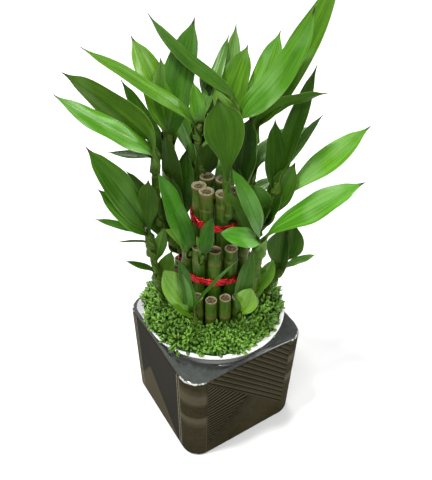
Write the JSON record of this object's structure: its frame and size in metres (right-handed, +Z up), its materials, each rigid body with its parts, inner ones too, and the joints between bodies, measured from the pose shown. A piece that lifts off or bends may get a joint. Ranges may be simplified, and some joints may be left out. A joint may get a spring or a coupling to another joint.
{
  "type": "potted lucky bamboo",
  "caption": "Tiered bundle of lucky bamboo stalks with leafy shoots, tied with red foil, standing in a mossy white liner in a square glazed pot.",
  "frame": {"origin": "middle of the pot's flat base, on the surface it stands on", "axes": "+Z up; X and Y square to the pot's four sides, with +Z the longest way"},
  "size_m": [0.2032, 0.1912, 0.3924],
  "materials": {
    "pot_glaze": "glossy dark olive grey glaze with engraved lines on the sides",
    "liner_plastic": "satin white",
    "growing_medium": "dark crumbly peat and bark",
    "moss": "dense small shiny leaflets",
    "stalk": "satin olive green bark, tan cut ends and leaf scars",
    "leaf": "glossy green living leaf with paler veins",
    "red_foil": "crumpled shiny red metallised foil"
  },
  "bodies": {
    "root": {"square_pot": "pot_glaze", "white_liner": "liner_plastic", "white_rim_plate": "liner_plastic", "growing_medium": "growing_medium", "moss_mat": "moss", "lower_red_tie": "red_foil", "upper_red_tie": "red_foil", "top_stalk_1": "stalk", "top_stalk_2": "stalk", "top_stalk_3": "stalk", "top_stalk_4": "stalk", "top_stalk_5": "stalk", "top_stalk_6": "stalk", "middle_stalk_1": "stalk", "middle_stalk_2": "stalk", "middle_stalk_3": "stalk", "middle_stalk_4": "stalk", "middle_stalk_5": "stalk", "middle_stalk_6": "stalk", "middle_stalk_7": "stalk", "middle_stalk_8": "stalk", "middle_stalk_9": "stalk", "middle_stalk_10": "stalk", "middle_stalk_11": "stalk", "outer_stalk_1": "stalk", "outer_stalk_2": "stalk", "outer_stalk_3": "stalk", "outer_stalk_4": "stalk", "outer_stalk_5": "stalk", "outer_stalk_6": "stalk", "outer_stalk_7": "stalk", "outer_stalk_8": "stalk", "outer_stalk_9": "stalk", "outer_stalk_10": "stalk", "outer_stalk_11": "stalk", "outer_stalk_12": "stalk", "outer_stalk_13": "stalk", "outer_stalk_14": "stalk", "outer_stalk_15": "stalk", "outer_stalk_16": "stalk", "outer_stalk_17": "stalk", "outer_stalk_18": "stalk", "outer_stalk_19": "stalk", "top_left_shoot": "leaf", "top_front_shoot": "leaf", "top_right_shoot": "leaf", "top_back_shoot": "leaf", "upper_left_back_shoot": "leaf", "upper_left_shoot": "leaf", "front_left_leaf_shoot": "leaf", "front_bud_shoot": "leaf", "upper_right_shoot": "leaf", "low_left_shoot": "leaf", "low_front_left_shoot": "leaf", "low_front_right_shoot": "leaf", "low_right_shoot": "leaf", "low_right_back_shoot": "leaf", "back_left_shoot": "leaf", "back_right_shoot": "leaf", "low_back_shoot": "leaf"}
  },
  "joints": []
}
